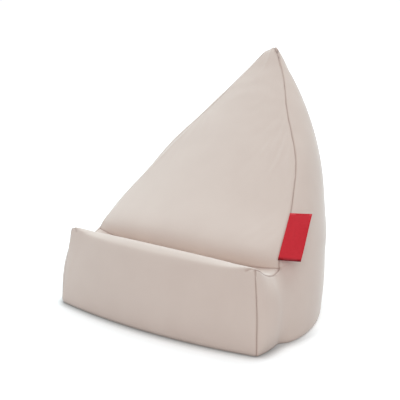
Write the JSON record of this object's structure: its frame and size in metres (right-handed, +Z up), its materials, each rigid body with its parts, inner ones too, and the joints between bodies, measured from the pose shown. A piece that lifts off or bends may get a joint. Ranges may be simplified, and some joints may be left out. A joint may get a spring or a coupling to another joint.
{
  "type": "tablet cushion stand",
  "caption": "Bead-filled fabric wedge cushion with a padded front lip and a sloping pointed backrest, which holds a tablet or book upright on a desk or lap.",
  "frame": {"origin": "on the floor, below the middle of the cushion's box", "axes": "+Z up, +X to the right of a person facing the cushion, the lip faces -Y"},
  "size_m": [0.2676, 0.262, 0.2498],
  "materials": {
    "cover_fabric": "matte",
    "base_fabric": "matte",
    "label_weave": "satin",
    "zip_tape": "matte",
    "zip_nylon": "satin",
    "zip_metal": "satin",
    "liner_fabric": "matte",
    "bead_foam": "matte",
    "bar_foam": "matte",
    "thread": "matte"
  },
  "bodies": {
    "cushion": {"lip_panel": "cover_fabric", "backrest_panel": "cover_fabric", "side_panel_right": "cover_fabric", "side_panel_left": "cover_fabric", "base_panel_front": "base_fabric", "base_panel_rear": "base_fabric", "zip_tape_front": "zip_tape", "zip_tape_rear": "zip_tape", "zip_coil_front": "zip_nylon", "zip_coil_rear": "zip_nylon", "zip_stop_left": "zip_metal", "zip_stop_right": "zip_metal", "lip_foam_bar": "bar_foam", "inner_bag": "liner_fabric", "bead_fill": "bead_foam", "seam_thread_lip_right": "thread", "seam_thread_lip_left": "thread", "seam_thread_edge_right": "thread", "seam_thread_edge_left": "thread", "seam_thread_back": "thread", "seam_thread_groove": "thread", "seam_thread_base_front": "thread", "seam_thread_base_right": "thread", "seam_thread_base_left": "thread"},
    "label": {"label_tab": "label_weave"},
    "slider": {"zip_slider": "zip_metal"}
  },
  "joints": [
    {"name": "label_flap", "type": "hinge", "parent": "cushion", "child": "label", "pos_m": [0.11073, -0.06151, 0.07779], "axis": [-0.2082, 0.771, 0.6019], "range_deg": [-100, 15], "stiffness_Nm_per_rad": 0.0001},
    {"name": "zip_slide", "type": "slide", "parent": "cushion", "child": "slider", "axis": [-1, 0, 0], "range_m": [0, 0.138]}
  ]
}
